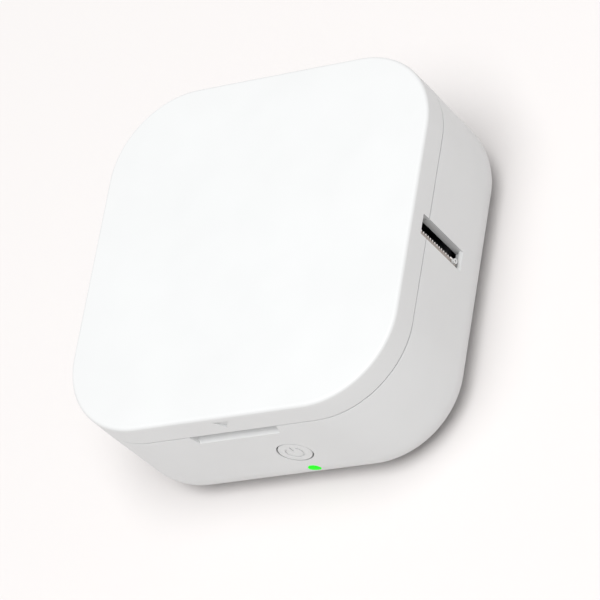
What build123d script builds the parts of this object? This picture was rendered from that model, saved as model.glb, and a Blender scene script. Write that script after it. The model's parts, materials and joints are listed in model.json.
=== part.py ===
from build123d import *
import os
from math import acos, atan2, cos, degrees, hypot, pi, radians, sin, sqrt, tan

os.makedirs("parts", exist_ok=True)

# Pocket label printer, in millimetres. The origin is the centre of the underside, +Z is up, the finger
# notch and the power button are on the front (-Y), the label leaves on the right (+X), the hinge is behind.

# Housing
body_width = 80.0
body_depth = 82.0
body_height = 33.5
corner_radius = 19.5
lid_height = 6.4  # from the top face down to the middle of the seam
wall = 2.0
side_draft = 0.5  # how far each side leans in from the seam to the underside
top_edge_radius = 0.8
bottom_edge_radius = 8.5
seam_gap = 0.3
rim_edge_radius = 0.25

# Clearances
running = 0.05  # shaft in its bush, on the radius
fixed_fit = 0.02  # pin or screw that stays put in its hole, on the radius
clearance = 0.3  # between pieces that move past each other
slack = 0.4  # between a moulding and what it drops into

# Hinge
hinge_radius = 2.2
hinge_pin_radius = 0.75
lid_knuckle_half = 12.0
ear_length = 5.5
notch_floor_drop = 0.5  # room under the knuckles for the lid to swing past a right angle

# Finger notch and arrow on the front
notch_width = 21.5
notch_end_slope = 0.95
notch_height = 3.1
notch_depth = 1.4
notch_rise = 1.0  # of its sloping floor, from the outer edge to the back
arrow_width = 3.8
arrow_height = 2.5
arrow_top_drop = 1.9
arrow_depth = 0.45

# Power button, its switch and the lamp
button_x = 7.8
button_z = 15.2
button_ring_radius = 3.8  # middle of the thin ring gap
button_ring_gap = 0.3
button_travel = 0.4
button_flange_radius = 4.7
button_flange_thickness = 0.8
mark_radius = 1.9
mark_line = 0.45
mark_depth = 0.2
mark_opening = 70.0  # degrees of the ring left open at the top
mark_bar = 1.9
lamp_x = 7.7
lamp_z = 7.4
lamp_radius = 1.4
lamp_flange_radius = 2.0
lamp_flange_thickness = 0.8
button_board_thickness = 1.0
button_board_width = 13.0
button_board_bottom = 3.4
button_board_top = 20.0
switch_size = 4.6
switch_height = 1.6
switch_gap = 0.8  # left behind the pressed button, in front of the switch
plunger_radius = 1.0
led_width = 2.0
led_height = 1.2
led_thickness = 0.8
board_groove_wall = 2.0

# Label, well and hub
label_room = 18.5  # of the height, for all that lies below and above the tape
roll_y = 2.0
well_side_gap = 5.0  # from the left side's inner wall to the well
well_plate_gap = 0.6  # from the well to the mechanism plate
core_thickness = 1.0
hub_radius = 6.4
hub_wall = 1.2
well_play = 1.5
well_wall = 1.5
path_margin_low = 0.7  # the label path is this much wider than the slot, on the blade's side
path_margin_high = 1.0  # and on the other side
label_floor_z = 13.4  # the label's lower edge runs along this height, the exit slot's sill
floor_thickness = 1.5

# Exit slot and tear blade
slot_y_low = -2.2
slot_y_high = 2.4
slot_play = 1.0  # slot taller than the tape
slot_chamfer = 0.5
slot_step = 1.0  # the slot's floor is this much lower behind the blade's face
blade_thickness = 0.3
blade_depth = 0.9  # below the outer face
blade_tip_y = -0.2
tooth_pitch = 0.9
tooth_depth = 0.6
blade_tail = 4.1  # how far the blade runs on behind the wall
blade_foot = 2.3  # plain stretch below the teeth
stud_rise = 1.2  # above the blade's lower edge
stud_radius = 0.6
stud_bore = 0.3
stud_length = 0.7

# Inner frame
deck_thickness = 1.5
deck_drop = 0.15  # deck below the base's rim
deck_margin = 0.6  # from the base's inner wall
lip_height = 1.2
lip_thickness = 1.0
pad_height = 3.5
pad_radius = 4.0
frame_screw_inset = 11.0  # from the outer faces
frame_boss_radius = 2.6

# Print line: the label passes between the platen and the head at this Y
paper_y = 0.8
platen_inset = 12.5  # from the right face to the platen's axis
platen_radius = 4.5
platen_shaft_radius = 1.5
platen_low = 0.7  # rubber above the sill
platen_short = 0.4  # rubber and head shorter than the tape's width
bush_radius = 2.2
bush_flange_radius = 3.2
bush_flange = 0.3

# Mechanism plate and bracket
plate_thickness = 1.2
plate_reach_left = 15.9  # these reaches run along X from the platen's axis
plate_reach_right = 8.9
plate_rear = 17.4
plate_corner = 3.0
post_radius = 2.2
post_front_y = -24.6
post_rear_y = 14.8
post_reach_left = 13.1
post_reach_rear_left = 8.9
post_reach_right = 4.9
bracket_thickness = 0.8
bracket_rise = 1.6  # above the tape's width
bracket_reach_left = 12.1
bracket_reach_right = 7.1
bracket_front = -8.4
bracket_wall_y = 9.4
window_margin = 0.8

# Print head
head_gap = 0.3
head_width = 10.0
head_thickness = 0.8
sink_thickness = 2.0
sink_reach = 6.5
pivot_reach = 9.0
pivot_y = 4.5
pivot_radius = 1.0
pivot_boss_radius = 2.1
head_low = 0.8
spring_reach = 2.5
spring_level = 0.54  # of the tape's width, up from the sill
spring_radius = 1.7
spring_wire = 0.3
spring_turns = 5
fin_count = 3
fin_height = 1.2
fin_thickness = 0.8

# Gear train
gear_module = 0.5
pressure_angle = 20.0
tooth_play = 0.1
addendum = 0.85  # in modules, a little short so that small pinions run free
dedendum = 1.2  # in modules
flank_steps = 4
gear_width = 2.2
pinion_teeth = 12
idler_teeth = 28
idler_small_teeth = 12
platen_teeth = 20
platen_gear_z = 8.4
idler_gear_z = 5.4
idler_width = 2.0
axle_radius = 1.0
axle_head_radius = 1.7
axle_head = 0.5

# Motor
motor_reach = 5.0
motor_y = -19.5
motor_radius = 7.5
motor_gap = 1.1  # below the deck
motor_flange = 0.8
motor_flange_half = 10.6
motor_flange_width = 6.0
motor_screw_spacing = 19.0
motor_boss_radius = 2.8
motor_shaft_radius = 0.75
motor_shaft_inside = 2.6
terminal_width = 4.3
terminal_height = 4.0
terminal_overlap = 2.0  # how far the terminal block reaches into the can
pinion_hub_radius = 1.8
pinion_hub_drop = 2.0  # below the plate

# Electronics
battery_side_gap = 10.0  # from the left side's inner wall
battery_reach = 23.5  # from the platen's axis to the battery's right side
battery_depth = 36.0
battery_thickness = 5.0
battery_y = -9.0
battery_edge = 1.5
board_side_gap = 14.0  # from the outer faces
board_rear_gap = 4.0
board_depth = 17.5
board_z = 6.4
board_thickness = 1.0
board_screw_inset = 3.5
board_screw_low = 7.0  # from the board's front edge
board_screw_high = 14.0
usb_x = -8.0
usb_width = 8.94
usb_height = 3.2
usb_length = 7.3
usb_setback = 0.4
usb_shell = 0.3
usb_back = 1.0
usb_tongue_width = 6.6
usb_tongue_height = 0.7
usb_tongue_setback = 0.6
radio_width = 12.5
radio_depth = 10.0
radio_screw_gap = 4.0
radio_front_gap = 5.0
radio_board_thickness = 0.8
radio_can_height = 2.0
radio_can_inset = 0.6
radio_antenna_length = 3.6
screw_chip_gap = 6.5
chip_sizes = [  # X from the middle, Y from the board's front edge, side and height
    (-5.0, 8.0, 5.0, 1.0),
    (-1.0, 12.0, 3.0, 0.8),
    (-1.8, 4.1, 2.4, 0.8),
]
large_chip = (8.5, 6.0, 1.0)  # Y from the board's front edge, side and height
usb_play = 0.35
lead_radius = 0.6
lead_pitch = 1.6
lead_bend_radius = 1.6
ribbon_thickness = 0.25
head_ribbon_width = 4.5
motor_ribbon_width = 3.2
ribbon_bend_radius = 0.8
ribbon_plate_gap = 1.0  # from the plate down to the ribbons
ribbon_drop_gap = 2.5  # from the board's edge to where the ribbons come down
connector_depth = 3.0
connector_height = 1.8
connector_setback = 0.5
connector_chamfer = 0.2
sensor_width = 3.2
sensor_depth = 1.4
sensor_rise = 3.0  # above the label floor
sensor_eye_radius = 0.45
sensor_eye_offset = 0.75
sensor_eye_depth = 0.4
sensor_gap = 1.6  # from the label path back to the sensor's board
sensor_well_gap = 4.0
sensor_platen_gap = 1.0

# Screws
screw_radius = 0.95
screw_head_radius = 1.8
screw_head_height = 1.2
screw_length = 7.0
slot_mark_width = 0.45
slot_mark_depth = 0.5

# Lid liner
liner_thickness = 1.0
liner_margin = 0.4
ring_radius = 15.0
ring_width = 1.4
ring_gap = 0.5  # above the label roll
tongue_width = 8.0
tongue_thickness = 1.0
tongue_reach = 1.8  # below the seam
tongue_nose = 0.3
tongue_nose_rise = 0.5
stud_pin_radius = 0.9

# Heights and places that follow from the sizes above
label_width = body_height - label_room
slot_height = label_width + slot_play
seam_z = body_height - lid_height
base_rim_z = seam_z - seam_gap / 2
lid_rim_z = seam_z + seam_gap / 2
ceiling_z = body_height - wall
deck_top_z = base_rim_z - deck_drop
deck_low_z = deck_top_z - deck_thickness
pad_low_z = deck_top_z - pad_height
slot_top_z = label_floor_z + slot_height
plate_low_z = label_floor_z - plate_thickness
platen_x = body_width / 2 - platen_inset
plate_left = platen_x - plate_reach_left
plate_right = platen_x + plate_reach_right
plate_front = motor_y - motor_radius
well_left = wall + well_side_gap - body_width / 2
well_right = plate_left - well_plate_gap
well_radius = (well_right - well_left) / 2 - well_wall
roll_x = (well_left + well_right) / 2
roll_radius = well_radius - well_play
hub_height = label_width * 2 / 3
core_bore = hub_radius + running
core_radius = core_bore + core_thickness
roll_low_z = label_floor_z + clearance
roll_top_z = roll_low_z + label_width
hinge_y = body_depth / 2 - hinge_radius
hinge_z = seam_z
platen_y = paper_y - platen_radius
platen_z = label_floor_z + platen_low
platen_length = label_width - platen_short
platen_top_z = platen_z + platen_length
bracket_top_z = label_floor_z + label_width + bracket_rise
bracket_left = platen_x - bracket_reach_left
bracket_right = platen_x + bracket_reach_right
post_left_x = platen_x - post_reach_left
post_rear_left_x = platen_x - post_reach_rear_left
post_right_x = platen_x + post_reach_right
pivot_x = platen_x - pivot_reach
spring_x = platen_x + spring_reach
spring_z = label_floor_z + spring_level * label_width
sink_right = platen_x + sink_reach
motor_x = platen_x - motor_reach
head_face_y = paper_y + head_gap
sink_face_y = head_face_y + head_thickness
sink_back_y = sink_face_y + sink_thickness
head_z = label_floor_z + head_low
idler_reach = gear_module * (pinion_teeth + idler_teeth) / 2
platen_reach = gear_module * (idler_small_teeth + platen_teeth) / 2
liner_low_z = ceiling_z - liner_thickness
battery_left = wall + battery_side_gap - body_width / 2
battery_right = platen_x - battery_reach
battery_x = (battery_left + battery_right) / 2
battery_width = battery_right - battery_left
board_width = body_width - 2 * board_side_gap
board_rear = body_depth / 2 - board_rear_gap
board_front = board_rear - board_depth
board_screw_x = board_width / 2 - board_screw_inset
board_screw_rows = (board_front + board_screw_low, board_front + board_screw_high)
frame_screw_x = body_width / 2 - frame_screw_inset
frame_screw_rear_y = body_depth / 2 - frame_screw_inset
frame_screw_front_y = motor_y - motor_radius - frame_boss_radius - slack


def lean_at(height):
    """How far the sides of the base stand in at a height, from their place at the seam."""
    return side_draft * (seam_z - height) / seam_z


def front_at(height):
    """Y of the outside of the front wall, with its rounded lower edge."""
    below = max(bottom_edge_radius - height, 0)
    rounding = bottom_edge_radius - sqrt(bottom_edge_radius**2 - below**2)
    return lean_at(height) + rounding - body_depth / 2


def front_inside_at(height):
    """Y of the inside of the front wall, with its rounded lower edge."""
    inner_radius = bottom_edge_radius - wall
    below = max(bottom_edge_radius - height, 0)
    rounding = inner_radius - sqrt(inner_radius**2 - below**2)
    return lean_at(height) + rounding + wall - body_depth / 2


corner_center_x = body_width / 2 - corner_radius
corner_center_y = body_depth / 2 - corner_radius
notch_half = corner_center_x + sqrt(corner_radius**2 - (hinge_y - corner_center_y) ** 2)
ear_inner = lid_knuckle_half + clearance
ear_outer = ear_inner + ear_length
ear_pocket_outer = ear_outer + clearance
button_face_y = front_at(button_z)
button_inner_wall_y = button_face_y + wall
button_radius = button_ring_radius - button_ring_gap / 2
button_hole_radius = button_ring_radius + button_ring_gap / 2
flange_front_y = button_inner_wall_y + clearance
flange_back_y = flange_front_y + button_flange_thickness
switch_front_y = flange_back_y + button_travel + switch_gap
board_front_y = switch_front_y + switch_height
board_back_y = board_front_y + button_board_thickness

frame_screw_places = [
    (x, y)
    for x in (-frame_screw_x, frame_screw_x)
    for y in (frame_screw_front_y, frame_screw_rear_y)
]
post_places = [
    (post_left_x, post_front_y),
    (post_right_x, post_front_y),
    (post_rear_left_x, post_rear_y),
    (post_right_x, post_rear_y),
]
front_post_places = post_places[:2]
rear_post_places = post_places[2:]
motor_screw_places = [(motor_x + side * motor_screw_spacing / 2, motor_y) for side in (-1, 1)]
board_screw_places = [(x, y) for x in (-board_screw_x, board_screw_x) for y in board_screw_rows]


def tapered_block(inset, bottom, top, edge_radius):
    """Round-cornered block with the draft of the base's sides and a rounded lower edge."""
    with BuildPart(mode=Mode.PRIVATE) as block:
        for height in (top, bottom):
            margin = 2 * (inset + lean_at(height))
            with BuildSketch(Plane.XY.offset(height)):
                RectangleRounded(body_width - margin, body_depth - margin, corner_radius - margin / 2)
        loft(ruled=True)
        fillet(block.edges().group_by(Axis.Z)[0], edge_radius)
    return block.part


def straight_block(inset, bottom, top):
    """Round-cornered upright block, as the lid and what drops into it."""
    with BuildPart(mode=Mode.PRIVATE) as block:
        with BuildSketch(Plane.XY.offset(bottom)):
            RectangleRounded(body_width - 2 * inset, body_depth - 2 * inset, corner_radius - inset)
        extrude(amount=top - bottom)
    return block.part


def box_between(low, high):
    """Box given by its lowest and its highest corner."""
    size = [high[i] - low[i] for i in range(3)]
    middle = [(high[i] + low[i]) / 2 for i in range(3)]
    return Pos(*middle) * Box(*size, mode=Mode.PRIVATE)


def upright(center, radius, bottom, top):
    """Upright round bar at an XY place."""
    return Pos(center[0], center[1], (bottom + top) / 2) * Cylinder(radius, top - bottom, mode=Mode.PRIVATE)


def bar_along_x(radius, left, right, y, z):
    """Round bar along X."""
    return Pos((left + right) / 2, y, z) * Rot(0, 90, 0) * Cylinder(radius, right - left, mode=Mode.PRIVATE)


def bar_along_y(radius, front, rear, x, z):
    """Round bar along Y."""
    return Pos(x, (front + rear) / 2, z) * Rot(90, 0, 0) * Cylinder(radius, rear - front, mode=Mode.PRIVATE)


def screws(places, seat_z, length):
    """Pan-head screws with a cross recess, their heads resting on seat_z."""
    with BuildPart(mode=Mode.PRIVATE) as group:
        for place in places:
            add(upright(place, screw_head_radius, seat_z, seat_z + screw_head_height))
            add(upright(place, screw_radius, seat_z - length, seat_z))
        fillet(group.faces().filter_by(GeomType.PLANE).group_by(Axis.Z)[-1].edges(), screw_head_height / 3)
        with BuildSketch(Plane.XY.offset(seat_z + screw_head_height)):
            with Locations(*places):
                Rectangle(screw_head_radius * 1.1, slot_mark_width)
                Rectangle(slot_mark_width, screw_head_radius * 1.1)
        extrude(amount=-slot_mark_depth, mode=Mode.SUBTRACT)
    return group.part


def involute(base_radius, radius):
    """Angle that an involute has swept when it reaches a radius."""
    roll = sqrt(max((radius / base_radius) ** 2 - 1, 0))
    return roll - atan2(roll, 1)


def gear_points(teeth, turn):
    """Outline of a spur gear round the origin, with one tooth's middle at the angle turn, in degrees."""
    pitch_radius = gear_module * teeth / 2
    base_radius = pitch_radius * cos(radians(pressure_angle))
    tip_radius = pitch_radius + addendum * gear_module
    root_radius = pitch_radius - dedendum * gear_module
    half_tooth = (pi * gear_module / 2 - tooth_play) / 2 / pitch_radius
    at_base = half_tooth + involute(base_radius, pitch_radius)
    start = max(base_radius, root_radius)
    flank = [(root_radius, at_base)]
    for step in range(flank_steps + 1):
        radius = start + (tip_radius - start) * step / flank_steps
        flank.append((radius, at_base - involute(base_radius, radius)))
    points = []
    for tooth in range(teeth):
        middle = radians(turn) + 2 * pi * tooth / teeth
        for radius, angle in flank:
            points.append((radius * cos(middle - angle), radius * sin(middle - angle)))
        for radius, angle in reversed(flank):
            points.append((radius * cos(middle + angle), radius * sin(middle + angle)))
    return points


def gear_blank(center, teeth, turn, bottom, width):
    """Toothed disc at an XY place."""
    with BuildPart(mode=Mode.PRIVATE) as blank:
        with BuildSketch(Plane(origin=(center[0], center[1], bottom))):
            with BuildLine():
                Polyline(*gear_points(teeth, turn), close=True)
            make_face()
        extrude(amount=width)
    return blank.part


# Base shell: the tub with its hinge ears, finger notch, exit slot, ports, bosses and posts
outer_form = tapered_block(0, 0, base_rim_z, bottom_edge_radius)
inner_form = tapered_block(wall, wall, base_rim_z + wall, bottom_edge_radius - wall)
root_z = 0.6 * wall
notch_floor_z = hinge_z - hinge_radius - notch_floor_drop

with BuildPart() as finger_notch:
    with BuildSketch(Plane.XZ.offset(body_depth / 2)):
        Trapezoid(
            notch_width,
            notch_height,
            degrees(atan2(notch_height, notch_end_slope)),
            align=(Align.CENTER, Align.MIN),
            rotation=180,
        )
    extrude(amount=-notch_depth)
finger_notch_cut = Pos(0, 0, seam_z) * finger_notch.part
with BuildPart() as notch_wedge:
    with BuildSketch(Plane.YZ.offset(-notch_width)):
        with BuildLine():
            Polyline(
                (-body_depth / 2, seam_z - notch_height),
                (-body_depth / 2 + notch_depth, seam_z - notch_height + notch_rise),
                (-body_depth / 2 + notch_depth, seam_z),
                (-body_depth / 2 - wall, seam_z),
                (-body_depth / 2 - wall, seam_z - notch_height),
                close=True,
            )
        make_face()
    extrude(amount=2 * notch_width)

with BuildPart() as base_shell:
    add(outer_form)
    fillet(base_shell.edges().group_by(Axis.Z)[-1], rim_edge_radius)
    add(inner_form, mode=Mode.SUBTRACT)
    for place in frame_screw_places:
        add(upright(place, frame_boss_radius, root_z, pad_low_z))
    for place in post_places:
        add(upright(place, post_radius, root_z, plate_low_z))
    for place in board_screw_places:
        add(upright(place, post_radius, root_z, board_z))
    for side in (-1, 1):
        groove_x = button_x + side * button_board_width / 2
        add(
            box_between(
                (groove_x - board_groove_wall / 2, button_face_y + wall / 2, root_z),
                (groove_x + board_groove_wall / 2, board_back_y + wall, button_board_top),
            )
        )
    add(
        box_between(
            (
                button_x - button_board_width / 2 - running,
                board_front_y - running,
                button_board_bottom - running,
            ),
            (button_x + button_board_width / 2 + running, board_back_y + running, body_height),
        ),
        mode=Mode.SUBTRACT,
    )
    add(outer_form, mode=Mode.INTERSECT)
    add(finger_notch_cut & notch_wedge.part, mode=Mode.SUBTRACT)
    add(
        box_between(
            (-notch_half - clearance, hinge_y - hinge_radius - clearance, notch_floor_z),
            (notch_half + clearance, body_depth, body_height),
        ),
        mode=Mode.SUBTRACT,
    )
    for side in (-1, 1):
        ear_x = sorted((side * ear_inner, side * ear_outer))
        ear_rear_y = body_depth / 2 - lean_at(notch_floor_z)
        add(bar_along_x(hinge_radius, ear_x[0], ear_x[1], hinge_y, hinge_z))
        add(
            box_between(
                (ear_x[0], hinge_y - hinge_radius, notch_floor_z - 2 * wall),
                (ear_x[1], ear_rear_y, hinge_z),
            )
        )
    add(
        bar_along_x(hinge_pin_radius + fixed_fit, -ear_outer, ear_outer, hinge_y, hinge_z),
        mode=Mode.SUBTRACT,
    )
    add(
        box_between(
            (body_width / 2 - 2 * wall, slot_y_low, label_floor_z),
            (body_width, slot_y_high, body_height),
        ),
        mode=Mode.SUBTRACT,
    )
    sill_x = body_width / 2 - lean_at(label_floor_z)
    with BuildSketch(Plane.XZ.offset(-slot_y_high)):
        with Locations((sill_x, label_floor_z)):
            Rectangle(slot_chamfer * sqrt(2), slot_chamfer * sqrt(2), rotation=45)
    extrude(amount=slot_y_high - slot_y_low, mode=Mode.SUBTRACT)
    blade_x = body_width / 2 - lean_at(label_floor_z + slot_height / 2) - blade_depth
    rebate_low_z = label_floor_z + clearance
    add(
        box_between(
            (body_width / 2 - 2 * wall, slot_y_low - blade_tail - clearance, rebate_low_z),
            (blade_x, slot_y_low, body_height),
        ),
        mode=Mode.SUBTRACT,
    )
    add(
        box_between(
            (body_width / 2 - 2 * wall, slot_y_low, label_floor_z - slot_step),
            (blade_x, slot_y_high, body_height),
        ),
        mode=Mode.SUBTRACT,
    )
    add(
        bar_along_y(button_hole_radius, -body_depth, button_face_y + 1.5 * wall, button_x, button_z),
        mode=Mode.SUBTRACT,
    )
    add(
        bar_along_y(lamp_radius + running, -body_depth, button_face_y + 1.5 * wall, lamp_x, lamp_z),
        mode=Mode.SUBTRACT,
    )
    with BuildSketch(Plane.XZ.offset(-body_depth / 2)):
        with Locations((usb_x, board_z + board_thickness + usb_height / 2)):
            SlotOverall(usb_width + 2 * usb_play, usb_height + 2 * usb_play)
    extrude(amount=2 * wall, mode=Mode.SUBTRACT)
    for places, top in (
        (frame_screw_places, pad_low_z),
        (post_places, plate_low_z),
        (board_screw_places, board_z),
    ):
        for place in places:
            depth = min(screw_length, top - wall)
            add(upright(place, screw_radius + fixed_fit, top - depth, top), mode=Mode.SUBTRACT)
base_shell.part.label = "base_shell"
export_step(base_shell.part, "parts/base_shell.step")

# Lid shell: the shallow cap with its knuckles, ear pockets, arrow and half of the exit slot
arrow_low_z = body_height - arrow_top_drop - arrow_height
arrow_high_z = body_height - arrow_top_drop
with BuildPart() as arrow_cut:
    with BuildSketch(Plane.XZ.offset(body_depth / 2)):
        with BuildLine():
            Polyline(
                (-arrow_width / 2, arrow_high_z),
                (arrow_width / 2, arrow_high_z),
                (0, arrow_low_z),
                close=True,
            )
        make_face()
    extrude(amount=-arrow_depth)

lid_outer_form = straight_block(0, hinge_z - hinge_radius, body_height)
with BuildPart() as knuckles:
    add(bar_along_x(hinge_radius, -notch_half, notch_half, hinge_y, hinge_z))
    add(
        box_between(
            (-notch_half, hinge_y - hinge_radius, hinge_z),
            (notch_half, body_depth / 2, hinge_z + hinge_radius + clearance),
        )
    )
    add(lid_outer_form, mode=Mode.INTERSECT)

with BuildPart() as lid_shell:
    add(straight_block(0, lid_rim_z, body_height))
    fillet(lid_shell.edges().group_by(Axis.Z)[-1], top_edge_radius)
    add(straight_block(wall, seam_z - wall, ceiling_z), mode=Mode.SUBTRACT)
    add(knuckles.part)
    for side in (-1, 1):
        pocket_x = sorted((side * lid_knuckle_half, side * ear_pocket_outer))
        add(
            box_between(
                (pocket_x[0], hinge_y - hinge_radius - clearance, 0),
                (pocket_x[1], body_depth, hinge_z + hinge_radius + clearance),
            ),
            mode=Mode.SUBTRACT,
        )
    add(
        bar_along_x(hinge_pin_radius + running, -ear_outer, ear_outer, hinge_y, hinge_z),
        mode=Mode.SUBTRACT,
    )
    add(
        box_between(
            (body_width / 2 - 2 * wall, slot_y_low, 0),
            (body_width, slot_y_high, slot_top_z),
        ),
        mode=Mode.SUBTRACT,
    )
    add(arrow_cut.part, mode=Mode.SUBTRACT)
    stud_x = corner_center_x
    stud_y = corner_center_y
    stud_places = [(x, y) for x in (-stud_x, stud_x) for y in (-stud_y, stud_y)]
    for place in stud_places:
        add(upright(place, stud_pin_radius, liner_low_z, ceiling_z + wall / 2))
lid_shell.part.label = "lid_shell"
export_step(lid_shell.part, "parts/lid_shell.step")

# Lid liner: the inner plate with the ring that keeps the label down and the tongue that closes the lid
deck_front_y = deck_margin + wall - body_depth / 2
tongue_y = deck_front_y + lip_thickness + clearance
tongue_low_z = seam_z - tongue_reach
tongue_slit_y = tongue_y + tongue_thickness + tongue_nose + clearance
liner_rear_y = hinge_y - hinge_radius - clearance
with BuildPart() as lid_liner:
    add(straight_block(wall + liner_margin, liner_low_z, ceiling_z))
    add(
        box_between((-body_width, liner_rear_y, 0), (body_width, body_depth, body_height)),
        mode=Mode.SUBTRACT,
    )
    with BuildSketch(Plane.XY.offset(liner_low_z)):
        with Locations((roll_x, roll_y)):
            Circle(ring_radius + ring_width / 2)
            Circle(ring_radius - ring_width / 2, mode=Mode.SUBTRACT)
    extrude(amount=roll_top_z + ring_gap - liner_low_z)
    add(
        box_between(
            (-tongue_width / 2, tongue_y, tongue_low_z),
            (tongue_width / 2, tongue_y + tongue_thickness, liner_low_z),
        )
    )
    add(
        bar_along_x(
            tongue_nose,
            -tongue_width / 2,
            tongue_width / 2,
            tongue_y + tongue_thickness,
            tongue_low_z + tongue_nose_rise,
        )
    )
    for place in stud_places:
        add(upright(place, stud_pin_radius + fixed_fit, liner_low_z - 1, ceiling_z + 1), mode=Mode.SUBTRACT)
lid_liner.part.label = "lid_liner"
export_step(lid_liner.part, "parts/lid_liner.step")

with BuildPart() as hinge_pin:
    add(bar_along_x(hinge_pin_radius, -ear_outer + running, ear_outer - running, hinge_y, hinge_z))
hinge_pin.part.label = "hinge_pin"
export_step(hinge_pin.part, "parts/hinge_pin.step")

# Inner frame: the deck with the label well, the hub, the lip and the screw pads
window_left = bracket_left - window_margin
window_right = bracket_right + window_margin
window_front = bracket_front - window_margin
window_rear = bracket_wall_y + bracket_thickness + window_margin
path_low_y = slot_y_low - path_margin_low
path_high_y = slot_y_high + path_margin_high
screw_seat_z = deck_top_z - screw_head_height - slack
pad_clip = straight_block(wall + deck_margin, pad_low_z, deck_top_z)
with BuildPart() as screw_pads:
    for place in frame_screw_places:
        add(upright(place, pad_radius, pad_low_z, deck_top_z))
    add(pad_clip, mode=Mode.INTERSECT)
with BuildPart() as inner_frame:
    add(straight_block(wall + deck_margin, deck_low_z, deck_top_z))
    add(straight_block(wall + deck_margin, deck_top_z, deck_top_z + lip_height))
    add(
        straight_block(wall + deck_margin + lip_thickness, deck_top_z, body_height),
        mode=Mode.SUBTRACT,
    )
    add(screw_pads.part)
    add(upright((roll_x, roll_y), well_radius + well_wall, label_floor_z - floor_thickness, deck_top_z))
    add(upright((roll_x, roll_y), well_radius, label_floor_z, body_height), mode=Mode.SUBTRACT)
    add(upright((roll_x, roll_y), hub_radius, label_floor_z, label_floor_z + hub_height))
    add(
        upright((roll_x, roll_y), hub_radius - hub_wall, label_floor_z - floor_thickness, body_height),
        mode=Mode.SUBTRACT,
    )
    add(
        box_between((window_left, window_front, deck_low_z - 1), (window_right, window_rear, body_height)),
        mode=Mode.SUBTRACT,
    )
    add(
        box_between(
            (roll_x + well_radius / 2, path_low_y, label_floor_z),
            (body_width, path_high_y, body_height),
        ),
        mode=Mode.SUBTRACT,
    )
    add(
        box_between(
            (-notch_half - clearance, hinge_y - hinge_radius - slack, deck_low_z - wall),
            (notch_half + clearance, body_depth, body_height),
        ),
        mode=Mode.SUBTRACT,
    )
    add(
        box_between(
            (-tongue_width / 2 - clearance, -body_depth, deck_low_z - wall),
            (tongue_width / 2 + clearance, tongue_slit_y, deck_top_z),
        ),
        mode=Mode.SUBTRACT,
    )
    for place in frame_screw_places:
        add(upright(place, screw_head_radius + clearance, screw_seat_z, body_height), mode=Mode.SUBTRACT)
        add(upright(place, screw_radius + fixed_fit, 0, body_height), mode=Mode.SUBTRACT)
inner_frame.part.label = "inner_frame"
export_step(inner_frame.part, "parts/inner_frame.step")

with BuildPart() as frame_screws:
    add(screws(frame_screw_places, screw_seat_z, screw_length))
frame_screws.part.label = "frame_screws"
export_step(frame_screws.part, "parts/frame_screws.step")

# Power button and the plunger that it pushes
button_plane = Plane(origin=(button_x, button_face_y, button_z), x_dir=(1, 0, 0), z_dir=(0, -1, 0))
with BuildPart() as power_button:
    add(bar_along_y(button_radius, button_face_y, flange_front_y, button_x, button_z))
    fillet(power_button.faces().sort_by(Axis.Y)[0].edges(), rim_edge_radius)
    add(bar_along_y(button_flange_radius, flange_front_y, flange_back_y, button_x, button_z))
    with BuildSketch(button_plane) as mark:
        Circle(mark_radius + mark_line / 2)
        Circle(mark_radius - mark_line / 2, mode=Mode.SUBTRACT)
        with BuildLine():
            side = 2 * mark_radius * tan(radians(mark_opening / 2))
            Polyline((0, 0), (side, 2 * mark_radius), (-side, 2 * mark_radius), close=True)
        make_face(mode=Mode.SUBTRACT)
        with Locations((0, mark_radius - mark_bar / 3)):
            Rectangle(mark_line, mark_bar)
    extrude(amount=-mark_depth, mode=Mode.SUBTRACT)
power_button.part.label = "power_button"
export_step(power_button.part, "parts/power_button.step")

with BuildPart() as switch_plunger:
    plunger_rear_y = board_front_y - button_travel - clearance
    add(bar_along_y(plunger_radius, flange_back_y, plunger_rear_y, button_x, button_z))
switch_plunger.part.label = "switch_plunger"
export_step(switch_plunger.part, "parts/switch_plunger.step")

with BuildPart() as tact_switch:
    add(
        box_between(
            (button_x - switch_size / 2, switch_front_y, button_z - switch_size / 2),
            (button_x + switch_size / 2, board_front_y, button_z + switch_size / 2),
        )
    )
    chamfer(tact_switch.edges().filter_by(Axis.Y), switch_size / 12)
    add(
        bar_along_y(plunger_radius + running, switch_front_y, board_front_y, button_x, button_z),
        mode=Mode.SUBTRACT,
    )
tact_switch.part.label = "tact_switch"
export_step(tact_switch.part, "parts/tact_switch.step")

with BuildPart() as button_board:
    add(
        box_between(
            (button_x - button_board_width / 2, board_front_y, button_board_bottom),
            (button_x + button_board_width / 2, board_back_y, button_board_top),
        )
    )
button_board.part.label = "button_board"
export_step(button_board.part, "parts/button_board.step")

led_front_y = board_front_y - led_thickness
with BuildPart() as status_led:
    add(
        box_between(
            (lamp_x - led_width / 2, led_front_y, lamp_z - led_height / 2),
            (lamp_x + led_width / 2, board_front_y, lamp_z + led_height / 2),
        )
    )
status_led.part.label = "status_led"
export_step(status_led.part, "parts/status_led.step")

lamp_wall_y = front_inside_at(lamp_z - lamp_flange_radius) + clearance / 2
with BuildPart() as light_pipe:
    add(bar_along_y(lamp_radius, -body_depth / 2, led_front_y - running, lamp_x, lamp_z))
    add(
        bar_along_y(
            lamp_flange_radius,
            lamp_wall_y + running,
            lamp_wall_y + lamp_flange_thickness,
            lamp_x,
            lamp_z,
        )
    )
    add(outer_form, mode=Mode.INTERSECT)
light_pipe.part.label = "light_pipe"
export_step(light_pipe.part, "parts/light_pipe.step")

# Label tape on its core
with BuildPart() as label_tape:
    add(upright((roll_x, roll_y), roll_radius, roll_low_z, roll_top_z))
    add(upright((roll_x, roll_y), core_radius, roll_low_z, roll_top_z), mode=Mode.SUBTRACT)
label_tape.part.label = "label_tape"
export_step(label_tape.part, "parts/label_tape.step")

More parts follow.
